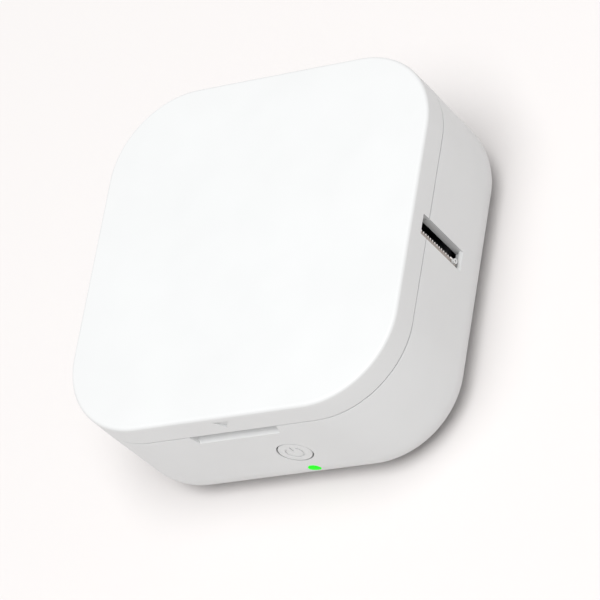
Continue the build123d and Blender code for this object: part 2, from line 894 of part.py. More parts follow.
with BuildPart() as roll_core:
    add(upright((roll_x, roll_y), core_radius, roll_low_z, roll_top_z))
    add(upright((roll_x, roll_y), core_bore, roll_low_z, roll_top_z), mode=Mode.SUBTRACT)
roll_core.part.label = "roll_core"
export_step(roll_core.part, "parts/roll_core.step")

# Mechanism plate and the bracket that holds the upper ends of the platen and of the head's pivot
platen_place = (platen_x, platen_y)
pivot_place = (pivot_x, pivot_y)
motor_place = (motor_x, motor_y)
motor_to_platen = atan2(platen_y - motor_y, platen_x - motor_x)
motor_platen_distance = hypot(platen_x - motor_x, platen_y - motor_y)
idler_swing = acos(
    (idler_reach**2 + motor_platen_distance**2 - platen_reach**2) / (2 * idler_reach * motor_platen_distance)
)
idler_place = (
    motor_x + idler_reach * cos(motor_to_platen + idler_swing),
    motor_y + idler_reach * sin(motor_to_platen + idler_swing),
)
terminal_x = motor_x - motor_radius - clearance
motor_ribbon_x = terminal_x - motor_ribbon_width / 2 + terminal_overlap / 2
terminal_y = motor_y + motor_radius
motor_ribbon_y = terminal_y + 4 * clearance
head_ribbon_x = pivot_x + pivot_boss_radius + 2 * clearance + head_ribbon_width / 2
head_ribbon_y = sink_face_y + sink_thickness / 2
ribbon_slit = ribbon_thickness / 2 + clearance
with BuildPart() as mechanism_plate:
    with BuildSketch(Plane.XY.offset(plate_low_z)):
        with Locations(((plate_left + plate_right) / 2, (plate_front + plate_rear) / 2)):
            RectangleRounded(plate_right - plate_left, plate_rear - plate_front, plate_corner)
        RectangleRounded(
            body_width - 2 * (wall + deck_margin),
            body_depth - 2 * (wall + deck_margin),
            corner_radius - wall - deck_margin,
            mode=Mode.INTERSECT,
        )
        with Locations(platen_place):
            Circle(bush_radius + fixed_fit, mode=Mode.SUBTRACT)
        with Locations(pivot_place):
            Circle(pivot_radius + fixed_fit, mode=Mode.SUBTRACT)
        with Locations(idler_place):
            Circle(axle_radius + fixed_fit, mode=Mode.SUBTRACT)
        with Locations(motor_place):
            Circle(motor_boss_radius + fixed_fit, mode=Mode.SUBTRACT)
        with Locations(*post_places, *motor_screw_places):
            Circle(screw_radius + fixed_fit, mode=Mode.SUBTRACT)
        with Locations((motor_ribbon_x, motor_ribbon_y)):
            Rectangle(motor_ribbon_width + 2 * clearance, 2 * ribbon_slit, mode=Mode.SUBTRACT)
        with Locations((head_ribbon_x, head_ribbon_y)):
            Rectangle(head_ribbon_width + 2 * clearance, 2 * ribbon_slit, mode=Mode.SUBTRACT)
    extrude(amount=plate_thickness)
mechanism_plate.part.label = "mechanism_plate"
export_step(mechanism_plate.part, "parts/mechanism_plate.step")

bracket_back_y = bracket_wall_y + bracket_thickness
bracket_low_z = bracket_top_z - bracket_thickness
with BuildPart() as mechanism_bracket:
    add(
        box_between(
            (bracket_left, bracket_front, bracket_low_z),
            (bracket_right, bracket_back_y, bracket_top_z),
        )
    )
    add(
        box_between(
            (bracket_left, bracket_wall_y, label_floor_z),
            (bracket_right, bracket_back_y, bracket_top_z),
        )
    )
    add(
        box_between(
            (bracket_left, bracket_wall_y, label_floor_z),
            (bracket_right, plate_rear, label_floor_z + bracket_thickness),
        )
    )
    fillet(
        mechanism_bracket.edges().filter_by(Axis.X).group_by(Axis.Z)[-1].sort_by(Axis.Y)[-1],
        bracket_thickness * 0.9,
    )
    fillet(mechanism_bracket.edges().filter_by(Axis.Z).group_by(Axis.Y)[0], plate_corner)
    add(upright(platen_place, bush_radius + fixed_fit, bracket_low_z, bracket_top_z), mode=Mode.SUBTRACT)
    add(upright(pivot_place, pivot_radius + fixed_fit, bracket_low_z, bracket_top_z), mode=Mode.SUBTRACT)
    for place in rear_post_places:
        add(upright(place, screw_radius + fixed_fit, label_floor_z, bracket_low_z), mode=Mode.SUBTRACT)
mechanism_bracket.part.label = "mechanism_bracket"
export_step(mechanism_bracket.part, "parts/mechanism_bracket.step")

with BuildPart() as plate_screws:
    add(screws(front_post_places, label_floor_z, screw_length))
    add(screws(rear_post_places, label_floor_z + bracket_thickness, screw_length))
plate_screws.part.label = "plate_screws"
export_step(plate_screws.part, "parts/plate_screws.step")

# Platen: rubber roller on a steel shaft in two bushes, with its gear below the plate
with BuildPart() as platen_shaft:
    add(upright(platen_place, platen_shaft_radius, platen_gear_z - slack, bracket_top_z))
    chamfer(platen_shaft.edges().filter_by(GeomType.CIRCLE), clearance / 2)
platen_shaft.part.label = "platen_shaft"
export_step(platen_shaft.part, "parts/platen_shaft.step")

with BuildPart() as platen_roller:
    add(upright(platen_place, platen_radius, platen_z, platen_top_z))
    fillet(platen_roller.edges().filter_by(GeomType.CIRCLE), clearance)
    add(upright(platen_place, platen_shaft_radius, platen_z, platen_top_z), mode=Mode.SUBTRACT)
platen_roller.part.label = "platen_roller"
export_step(platen_roller.part, "parts/platen_roller.step")

with BuildPart() as platen_bushes:
    add(upright(platen_place, bush_radius, plate_low_z, label_floor_z))
    add(upright(platen_place, bush_flange_radius, label_floor_z, label_floor_z + bush_flange))
    add(upright(platen_place, bush_radius, bracket_low_z, bracket_top_z))
    add(upright(platen_place, bush_flange_radius, bracket_low_z - bush_flange / 2, bracket_low_z))
    add(
        upright(platen_place, platen_shaft_radius + running, 0, body_height),
        mode=Mode.SUBTRACT,
    )
platen_bushes.part.label = "platen_bushes"
export_step(platen_bushes.part, "parts/platen_bushes.step")

idler_to_platen = degrees(atan2(platen_y - idler_place[1], platen_x - idler_place[0]))
motor_to_idler = degrees(atan2(idler_place[1] - motor_y, idler_place[0] - motor_x))
platen_gear_turn = idler_to_platen + 180 + 180 / platen_teeth
with BuildPart() as platen_gear:
    add(gear_blank(platen_place, platen_teeth, platen_gear_turn, platen_gear_z, gear_width))
    add(upright(platen_place, 2 * platen_shaft_radius, platen_gear_z, plate_low_z - clearance))
    add(upright(platen_place, platen_shaft_radius, 0, body_height), mode=Mode.SUBTRACT)
platen_gear.part.label = "platen_gear"
export_step(platen_gear.part, "parts/platen_gear.step")

with BuildPart() as idler_gear:
    idler_turn = motor_to_idler + 180 + 180 / idler_teeth
    small_low_z = idler_gear_z + idler_width
    small_height = plate_low_z - clearance - small_low_z
    add(gear_blank(idler_place, idler_teeth, idler_turn, idler_gear_z, idler_width))
    add(gear_blank(idler_place, idler_small_teeth, idler_to_platen, small_low_z, small_height))
    add(upright(idler_place, axle_radius + running, 0, body_height), mode=Mode.SUBTRACT)
idler_gear.part.label = "idler_gear"
export_step(idler_gear.part, "parts/idler_gear.step")

axle_low_z = idler_gear_z - clearance - axle_head
with BuildPart() as idler_axle:
    add(upright(idler_place, axle_radius, axle_low_z, label_floor_z))
    add(upright(idler_place, axle_head_radius, axle_low_z, axle_low_z + axle_head))
idler_axle.part.label = "idler_axle"
export_step(idler_axle.part, "parts/idler_axle.step")

# Stepper motor with its shaft and pinion
flange_top_z = label_floor_z + motor_flange
motor_top_z = deck_low_z - motor_gap
shaft_top_z = flange_top_z + motor_shaft_inside
with BuildPart() as drive_motor:
    with BuildSketch(Plane.XY.offset(label_floor_z)):
        with Locations(motor_place):
            SlotOverall(2 * motor_flange_half, motor_flange_width)
            Circle(motor_radius)
        with Locations(*motor_screw_places):
            Circle(screw_radius + fixed_fit, mode=Mode.SUBTRACT)
    extrude(amount=motor_flange)
    add(upright(motor_place, motor_radius, label_floor_z, motor_top_z))
    fillet(drive_motor.faces().sort_by(Axis.Z)[-1].edges(), slack)
    add(upright(motor_place, motor_boss_radius, plate_low_z, label_floor_z))
    add(
        box_between(
            (terminal_x - terminal_width + terminal_overlap, terminal_y - terminal_height, flange_top_z),
            (terminal_x + terminal_overlap, terminal_y, flange_top_z + terminal_height),
        )
    )
    add(
        upright(motor_place, motor_shaft_radius + running, 0, shaft_top_z + clearance),
        mode=Mode.SUBTRACT,
    )
drive_motor.part.label = "drive_motor"
export_step(drive_motor.part, "parts/drive_motor.step")

pinion_low_z = idler_gear_z - (gear_width - idler_width) / 2
with BuildPart() as motor_shaft:
    add(upright(motor_place, motor_shaft_radius, pinion_low_z - clearance, shaft_top_z))
motor_shaft.part.label = "motor_shaft"
export_step(motor_shaft.part, "parts/motor_shaft.step")

with BuildPart() as motor_pinion:
    add(gear_blank(motor_place, pinion_teeth, motor_to_idler, pinion_low_z, gear_width))
    add(upright(motor_place, pinion_hub_radius, pinion_low_z, plate_low_z - pinion_hub_drop))
    add(upright(motor_place, motor_shaft_radius, 0, body_height), mode=Mode.SUBTRACT)
motor_pinion.part.label = "motor_pinion"
export_step(motor_pinion.part, "parts/motor_pinion.step")

with BuildPart() as motor_screws:
    add(screws(motor_screw_places, flange_top_z, motor_flange + plate_thickness))
motor_screws.part.label = "motor_screws"
export_step(motor_screws.part, "parts/motor_screws.step")

# Print head: ceramic head on an aluminium heat sink that swings on its pivot, pressed by a spring
sink_top_z = head_z + platen_length
with BuildPart() as heat_sink:
    add(
        box_between(
            (pivot_x, sink_face_y, head_z),
            (sink_right, sink_back_y, sink_top_z),
        )
    )
    for fin in range(fin_count):
        fin_z = head_z + platen_length * (fin + 0.5) / fin_count - 2 * fin_thickness
        add(
            box_between(
                (pivot_x, sink_back_y, fin_z),
                (spring_x - 2 * spring_radius, sink_back_y + fin_height, fin_z + fin_thickness),
            )
        )
    add(upright(pivot_place, pivot_boss_radius, head_z, sink_top_z))
    add(upright(pivot_place, pivot_radius + running, 0, body_height), mode=Mode.SUBTRACT)
heat_sink.part.label = "heat_sink"
export_step(heat_sink.part, "parts/heat_sink.step")

with BuildPart() as thermal_head:
    add(
        box_between(
            (platen_x - head_width / 2, head_face_y, head_z),
            (platen_x + head_width / 2, sink_face_y, sink_top_z),
        )
    )
    chamfer(thermal_head.faces().sort_by(Axis.Y)[0].edges().filter_by(Axis.Z), clearance)
thermal_head.part.label = "thermal_head"
export_step(thermal_head.part, "parts/thermal_head.step")

with BuildPart() as head_pivot_pin:
    add(upright(pivot_place, pivot_radius, plate_low_z, bracket_top_z))
head_pivot_pin.part.label = "head_pivot_pin"
export_step(head_pivot_pin.part, "parts/head_pivot_pin.step")

spring_start_y = sink_back_y + spring_wire + running
spring_end_y = bracket_wall_y - spring_wire - running
spring_length = spring_end_y - spring_start_y
with BuildPart() as head_spring:
    with BuildLine() as spring_path:
        Helix(
            spring_length / spring_turns,
            spring_length,
            spring_radius,
            center=(spring_x, spring_start_y, spring_z),
            direction=(0, 1, 0),
        )
    with BuildSketch(Plane(origin=spring_path.line @ 0, z_dir=spring_path.line % 0)):
        Circle(spring_wire)
    sweep()
head_spring.part.label = "head_spring"
export_step(head_spring.part, "parts/head_spring.step")

# Tear blade in the exit slot and its stud
blade_foot_top_z = rebate_low_z + running + blade_foot
blade_top_z = slot_top_z - slack
teeth_root_y = blade_tip_y - tooth_depth
tooth_count = int((blade_top_z - blade_foot_top_z) / tooth_pitch)
blade_outline = [
    (slot_y_low - blade_tail, rebate_low_z + running),
    (blade_tip_y, rebate_low_z + running),
    (blade_tip_y, blade_foot_top_z),
]
for tooth in range(tooth_count):
    tooth_low_z = blade_foot_top_z + tooth * tooth_pitch
    blade_outline.append((teeth_root_y, tooth_low_z + tooth_pitch / 2))
    blade_outline.append((blade_tip_y, tooth_low_z + tooth_pitch))
teeth_top_z = blade_foot_top_z + tooth_count * tooth_pitch
blade_outline += [
    (teeth_root_y, teeth_top_z + tooth_pitch / 4),
    (slot_y_low + clearance, teeth_top_z + tooth_pitch / 4),
    (slot_y_low + clearance, base_rim_z - clearance),
    (slot_y_low - blade_tail, base_rim_z - clearance),
]
with BuildPart() as tear_blade:
    with BuildSketch(Plane.YZ.offset(blade_x - running - blade_thickness)):
        with BuildLine():
            Polyline(*blade_outline, close=True)
        make_face()
    extrude(amount=blade_thickness)
tear_blade.part.label = "tear_blade"
export_step(tear_blade.part, "parts/tear_blade.step")

stud_place_y = blade_tip_y - stud_radius
stud_place_z = rebate_low_z + running + stud_rise
with BuildPart() as blade_stud:
    stud_left_x = blade_x - running
    add(bar_along_x(stud_radius, stud_left_x, stud_left_x + stud_length, stud_place_y, stud_place_z))
    add(
        bar_along_x(stud_bore, stud_left_x, body_width, stud_place_y, stud_place_z),
        mode=Mode.SUBTRACT,
    )
blade_stud.part.label = "blade_stud"
export_step(blade_stud.part, "parts/blade_stud.step")

# Label gap sensor on its own small board, facing the label path
sensor_board_y = path_low_y - sensor_gap
sensor_left_x = well_radius + roll_x + well_wall + sensor_well_gap
sensor_right_x = platen_x - platen_radius - sensor_platen_gap
with BuildPart() as sensor_board:
    add(
        box_between(
            (sensor_left_x, sensor_board_y - board_thickness, label_floor_z),
            (sensor_right_x, sensor_board_y, label_floor_z + label_width / 2),
        )
    )
sensor_board.part.label = "sensor_board"
export_step(sensor_board.part, "parts/sensor_board.step")

sensor_x = (sensor_left_x + sensor_right_x) / 2
sensor_low_z = label_floor_z + sensor_rise
with BuildPart() as label_sensor:
    add(
        box_between(
            (sensor_x - sensor_width / 2, sensor_board_y, sensor_low_z),
            (sensor_x + sensor_width / 2, sensor_board_y + sensor_depth, sensor_low_z + sensor_width),
        )
    )
    with BuildSketch(Plane.XZ.offset(-sensor_board_y - sensor_depth)):
        with Locations((sensor_x, sensor_low_z + sensor_width / 2)):
            with Locations((-sensor_eye_offset, 0), (sensor_eye_offset, 0)):
                Circle(sensor_eye_radius)
    extrude(amount=sensor_eye_depth, mode=Mode.SUBTRACT)
label_sensor.part.label = "label_sensor"
export_step(label_sensor.part, "parts/label_sensor.step")

# Battery, main board and what is on it
with BuildPart() as battery:
    with BuildSketch(Plane.XY.offset(wall)):
        with Locations((battery_x, battery_y)):
            RectangleRounded(battery_width, battery_depth, battery_edge)
    extrude(amount=battery_thickness)
    fillet(battery.edges().filter_by(Axis.Z, reverse=True), battery_edge * 0.8)
battery.part.label = "battery"
export_step(battery.part, "parts/battery.step")

board_top_z = board_z + board_thickness
with BuildPart() as main_board:
    with BuildSketch(Plane.XY.offset(board_z)):
        with Locations((0, (board_front + board_rear) / 2)):
            RectangleRounded(board_width, board_rear - board_front, plate_corner)
        with Locations(*board_screw_places):
            Circle(screw_radius + fixed_fit, mode=Mode.SUBTRACT)
    extrude(amount=board_thickness)
main_board.part.label = "main_board"
export_step(main_board.part, "parts/main_board.step")

with BuildPart() as board_screws:
    add(screws(board_screw_places, board_top_z, board_z - wall))
board_screws.part.label = "board_screws"
export_step(board_screws.part, "parts/board_screws.step")

usb_front_y = body_depth / 2 - lean_at(board_z) - usb_setback
usb_middle_z = board_top_z + usb_height / 2
usb_tongue_low_z = usb_middle_z - usb_tongue_height / 2
with BuildPart() as usb_socket:
    with BuildSketch(Plane.XZ.offset(-usb_front_y)):
        with Locations((usb_x, usb_middle_z)):
            SlotOverall(usb_width, usb_height)
    extrude(amount=usb_length)
    with BuildSketch(Plane.XZ.offset(-usb_front_y)):
        with Locations((usb_x, usb_middle_z)):
            SlotOverall(usb_width - 2 * usb_shell, usb_height - 2 * usb_shell)
    extrude(amount=usb_length - usb_back, mode=Mode.SUBTRACT)
    add(
        box_between(
            (usb_x - usb_tongue_width / 2, usb_front_y - usb_length + usb_back / 2, usb_tongue_low_z),
            (
                usb_x + usb_tongue_width / 2,
                usb_front_y - usb_tongue_setback,
                usb_tongue_low_z + usb_tongue_height,
            ),
        )
    )
usb_socket.part.label = "usb_socket"
export_step(usb_socket.part, "parts/usb_socket.step")

with BuildPart() as radio_module:
    radio_right = board_screw_x - radio_screw_gap
    radio_left = radio_right - radio_width
    radio_front = board_front + radio_front_gap
    radio_rear = radio_front + radio_depth
    add(
        box_between(
            (radio_left, radio_front, board_top_z),
            (radio_right, radio_rear, board_top_z + radio_board_thickness),
        )
    )
    add(
        box_between(
            (radio_left + radio_can_inset, radio_front + radio_can_inset, board_top_z),
            (
                radio_right - radio_antenna_length,
                radio_rear - radio_can_inset,
                board_top_z + radio_can_height,
            ),
        )
    )
    fillet(radio_module.edges().group_by(Axis.Z)[-1], radio_can_inset / 2)
radio_module.part.label = "radio_module"
export_step(radio_module.part, "parts/radio_module.step")

chip_places = chip_sizes + [(screw_chip_gap - board_screw_x, *large_chip)]
with BuildPart() as board_chips:
    for chip_x, chip_front_gap, chip_size, chip_height in chip_places:
        chip_y = board_front + chip_front_gap
        add(
            box_between(
                (chip_x - chip_size / 2, chip_y - chip_size / 2, board_top_z),
                (chip_x + chip_size / 2, chip_y + chip_size / 2, board_top_z + chip_height),
            )
        )
board_chips.part.label = "board_chips"
export_step(board_chips.part, "parts/board_chips.step")

battery_rear_y = battery_y + battery_depth / 2
connector_front_y = board_front + connector_setback
connector_rear_y = connector_front_y + connector_depth
connector_places = [
    (battery_x, 3 * lead_pitch),
    (motor_ribbon_x, motor_ribbon_width + slack),
    (head_ribbon_x, head_ribbon_width + slack),
]
with BuildPart() as board_connectors:
    for connector_x, connector_width in connector_places:
        add(
            box_between(
                (connector_x - connector_width / 2, connector_front_y, board_top_z),
                (connector_x + connector_width / 2, connector_rear_y, board_top_z + connector_height),
            )
        )
    chamfer(board_connectors.edges().group_by(Axis.Z)[-1], connector_chamfer)
board_connectors.part.label = "board_connectors"
export_step(board_connectors.part, "parts/board_connectors.step")

# Leads and ribbons, made along their routes between the pieces that they join
lead_low_z = wall + battery_thickness / 2
connector_middle_z = board_top_z + connector_height / 2
lead_bend = (board_front - battery_rear_y) / 2
with BuildPart() as battery_leads:
    for side in (-1, 1):
        lead_x = battery_x + side * lead_pitch / 2
        with BuildLine(Plane.YZ.offset(lead_x)) as lead_path:
            FilletPolyline(
                (battery_rear_y, lead_low_z),
                (battery_rear_y + lead_bend / 3, lead_low_z),
                (board_front - lead_bend / 2, connector_middle_z),
                (connector_front_y, connector_middle_z),
                radius=lead_bend_radius,
            )
        with BuildSketch(Plane(origin=lead_path.line @ 0, z_dir=lead_path.line % 0)):
            Circle(lead_radius)
        sweep(path=lead_path.line)
battery_leads.part.label = "battery_leads"
export_step(battery_leads.part, "parts/battery_leads.step")


def ribbon(x, width, points):
    """Flat flexible cable of a width along X that follows points in the YZ plane."""
    with BuildPart(mode=Mode.PRIVATE) as strip:
        with BuildLine(Plane.YZ.offset(x)) as route:
            FilletPolyline(*points, radius=ribbon_bend_radius)
        with BuildSketch(Plane(origin=route.line @ 0, x_dir=(1, 0, 0), z_dir=route.line % 0)):
            Rectangle(width, ribbon_thickness)
        sweep(path=route.line)
    return strip.part


ribbon_run_z = plate_low_z - ribbon_plate_gap
ribbon_drop_y = board_front - ribbon_drop_gap
terminal_middle_z = flange_top_z + terminal_height / 2
with BuildPart() as head_ribbon:
    head_route = [
        (head_ribbon_y, head_z - clearance),
        (head_ribbon_y, ribbon_run_z),
        (ribbon_drop_y, ribbon_run_z),
        (ribbon_drop_y, connector_middle_z),
        (connector_front_y, connector_middle_z),
    ]
    add(ribbon(head_ribbon_x, head_ribbon_width, head_route))
head_ribbon.part.label = "head_ribbon"
export_step(head_ribbon.part, "parts/head_ribbon.step")

with BuildPart() as motor_ribbon:
    motor_route = [
        (terminal_y, terminal_middle_z),
        (motor_ribbon_y, terminal_middle_z),
        (motor_ribbon_y, ribbon_run_z),
        (ribbon_drop_y, ribbon_run_z),
        (ribbon_drop_y, connector_middle_z),
        (connector_front_y, connector_middle_z),
    ]
    add(ribbon(motor_ribbon_x, motor_ribbon_width, motor_route))
motor_ribbon.part.label = "motor_ribbon"
export_step(motor_ribbon.part, "parts/motor_ribbon.step")
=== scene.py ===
"""Studio scene of a pocket label printer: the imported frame, dressed in its real materials."""

import json
import logging
import math
from dataclasses import dataclass
from enum import Enum
from typing import Any, Sequence

import bmesh
import bpy
import numpy as np
from mathutils import Matrix, Vector

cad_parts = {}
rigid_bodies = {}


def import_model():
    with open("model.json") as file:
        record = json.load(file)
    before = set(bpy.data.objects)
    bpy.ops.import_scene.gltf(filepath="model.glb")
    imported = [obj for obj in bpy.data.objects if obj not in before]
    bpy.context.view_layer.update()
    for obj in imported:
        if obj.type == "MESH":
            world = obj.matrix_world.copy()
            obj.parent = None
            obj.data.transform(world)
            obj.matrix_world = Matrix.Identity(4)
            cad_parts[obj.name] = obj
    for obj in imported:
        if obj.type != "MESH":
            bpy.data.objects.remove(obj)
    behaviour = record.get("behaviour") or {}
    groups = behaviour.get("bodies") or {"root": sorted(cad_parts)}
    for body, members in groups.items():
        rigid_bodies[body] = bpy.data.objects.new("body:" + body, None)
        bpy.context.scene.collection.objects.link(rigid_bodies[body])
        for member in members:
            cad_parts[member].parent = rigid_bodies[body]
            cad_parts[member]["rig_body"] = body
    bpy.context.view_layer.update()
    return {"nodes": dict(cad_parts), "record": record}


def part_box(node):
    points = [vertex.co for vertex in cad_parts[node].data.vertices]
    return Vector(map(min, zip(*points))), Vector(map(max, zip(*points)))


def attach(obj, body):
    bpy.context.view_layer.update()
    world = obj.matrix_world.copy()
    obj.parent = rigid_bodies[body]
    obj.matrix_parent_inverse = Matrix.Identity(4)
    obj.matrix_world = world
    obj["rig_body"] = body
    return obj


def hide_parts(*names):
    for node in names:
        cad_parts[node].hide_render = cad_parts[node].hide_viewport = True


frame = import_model()
LOG = logging.getLogger("label_printer")
MM = 0.001


def linear(hex_colour: str) -> tuple[float, float, float, float]:
    """Turns an sRGB hex colour to linear light.

    Args:
        hex_colour: Six hex digits, such as "F4F4F2".

    Returns:
        Red, green, blue and alpha, linear.
    """
    parts = [int(hex_colour[i : i + 2], 16) / 255 for i in (0, 2, 4)]
    r, g, b = (c / 12.92 if c <= 0.04045 else ((c + 0.055) / 1.055) ** 2.4 for c in parts)
    return r, g, b, 1.0


def add_node(
    tree: bpy.types.NodeTree,
    kind: str,
    settings: dict[str, Any] | None = None,
    inputs: dict[Any, Any] | None = None,
) -> bpy.types.Node:
    """Adds a shader node, with its settings and its links.

    Args:
        tree: Node tree that takes the node.
        kind: Blender's name for the node's type.
        settings: Attributes of the node, by name.
        inputs: Sockets by name or number, each with a value or with the output that feeds it.

    Returns:
        The new node.
    """
    node = tree.nodes.new(kind)
    for name, value in (settings or {}).items():
        setattr(node, name, value)
    for key, value in (inputs or {}).items():
        socket = node.inputs[key]
        if isinstance(value, bpy.types.NodeSocket):
            tree.links.new(value, socket)
        else:
            socket.default_value = value
    return node


def ramp(
    tree: bpy.types.NodeTree, factor: bpy.types.NodeSocket, stops: Sequence[tuple]
) -> bpy.types.NodeSocket:
    """Colours a factor through a ramp.

    Args:
        tree: Node tree that takes the ramp.
        factor: Output that drives it.
        stops: Pairs of a place from 0 to 1 and a linear colour, in order.

    Returns:
        The ramp's colour output.
    """
    node = add_node(tree, "ShaderNodeValToRGB", inputs={"Fac": factor})
    elements = node.color_ramp.elements
    while len(elements) < len(stops):
        elements.new(0.5)
    for element, (place, colour) in zip(elements, stops):
        element.position = place
        element.color = colour
    return node.outputs["Color"]


def blend(
    tree: bpy.types.NodeTree, main: bpy.types.NodeSocket, other: bpy.types.NodeSocket, share: float
) -> bpy.types.NodeSocket:
    """Mixes a share of one value into another.

    Args:
        tree: Node tree that takes the mix.
        main: The value that is mostly kept.
        other: The value that is mixed in.
        share: How much of the other, from 0 to 1.

    Returns:
        The mixed value's output.
    """
    mixed = {"Factor": share, "A": main, "B": other}
    return add_node(tree, "ShaderNodeMix", {"data_type": "FLOAT"}, mixed).outputs["Result"]


def new_piece(
    name: str, points_mm: np.ndarray, faces: np.ndarray, smooth_degrees: float
) -> bpy.types.Object:
    """Makes a mesh object at the origin from arrays, smooth up to an angle.

    Args:
        name: Name of the piece.
        points_mm: One row of x, y and z for each point, in mm.
        faces: One row of four point numbers for each face, outward side first.
        smooth_degrees: Edges that turn less than this are shaded smooth.

    Returns:
        The piece, linked to the scene.
    """
    mesh = bpy.data.meshes.new(name)
    mesh.from_pydata((points_mm * MM).tolist(), [], faces.tolist())
    soften(mesh, smooth_degrees, 0.0)
    piece = bpy.data.objects.new(name, mesh)
    bpy.context.scene.collection.objects.link(piece)
    return piece


def soften(mesh: bpy.types.Mesh, smooth_degrees: float, merge_mm: float) -> None:
    """Merges a mesh's doubles and shades it smooth up to an angle.

    Args:
        mesh: Mesh to change.
        smooth_degrees: Edges that turn less than this are shaded smooth.
        merge_mm: Points nearer than this become one; 0 leaves them.
    """
    shape = bmesh.new()
    shape.from_mesh(mesh)
    if merge_mm:
        bmesh.ops.remove_doubles(shape, verts=shape.verts, dist=merge_mm * MM)
    limit = math.radians(smooth_degrees)
    for edge in shape.edges:
        edge.smooth = len(edge.link_faces) == 2 and edge.calc_face_angle(0.0) < limit
    for face in shape.faces:
        face.smooth = True
    shape.to_mesh(mesh)
    shape.free()


def revolved(
    profile: np.ndarray, centre: Sequence[float], segments: int
) -> tuple[np.ndarray, np.ndarray]:
    """Turns a closed profile round an upright axis.

    Each point (r, z) of the profile becomes the ring x = cx + r cos a, y = cy + r sin a at that z, for
    evenly spaced angles a. Neighbouring rings are joined by faces, and the last ring joins the first.

    Args:
        profile: Rows of radius and height in mm, going up on the outside.
        centre: The axis, as x and y in mm.
        segments: Points on each ring.

    Returns:
        Points in mm and faces that point outwards.
    """
    angles = np.linspace(0.0, 2 * math.pi, segments, endpoint=False)
    radii, heights = profile[:, 0], profile[:, 1]
    points = np.stack(
        [
            centre[0] + np.outer(radii, np.cos(angles)),
            centre[1] + np.outer(radii, np.sin(angles)),
            np.repeat(heights[:, None], segments, axis=1),
        ],
        axis=-1,
    )
    ring, step = np.meshgrid(np.arange(len(radii)), np.arange(segments), indexing="ij")
    next_ring, next_step = (ring + 1) % len(radii), (step + 1) % segments
    faces = np.stack(
        [
            ring * segments + step,
            ring * segments + next_step,
            next_ring * segments + next_step,
            next_ring * segments + step,
        ],
        axis=-1,
    )
    return points.reshape(-1, 3), faces.reshape(-1, 4)


class Pattern(Enum):
    """What the surface of a finish shows close up."""

    GRAIN = "grain"
    STREAKS = "streaks"
    RINGS = "rings"
    BOARD = "board"
    CREASES = "creases"
    TRACKS = "tracks"
    # a painted highlight: near white past a line across the blade's teeth, standing in for glints
    PAINTED_HIGHLIGHT_EDGE = "painted highlight edge"


# How a pattern's noise is drawn out, as the scale of its coordinates along x, y and z
STRETCH = {Pattern.STREAKS: (0.06, 1.0, 1.0), Pattern.PAINTED_HIGHLIGHT_EDGE: (1.0, 1.0, 0.1)}
UNSTRETCHED = (1.0, 1.0, 1.0)

# Places on a mask, from 0 to 1, up to which a finish has its shade and past which it has its colour
SHADE_END = 0.25
COLOUR_START = 0.75

# A wave repeats every 2 pi / 20 of its scaled coordinate, so this scale gives one wave a unit
WAVE_SCALE = math.pi / 10

# Shares of fine noise mixed into a wave and into the painted highlight along the blade's teeth
WAVE_NOISE = 0.4
EDGE_NOISE = 0.12

# Half the width over which the painted highlight along the blade's teeth fades in, in mm
EDGE_HALF = 0.1

# Grains to a board's track and to one slow change of a plain surface
TRACK_GRAINS = 4
SLOW_GRAINS = 40

# A board's mask where there is no track, and how much a track adds to it
BOARD_BASE = 0.25
TRACK_GAIN = 0.6


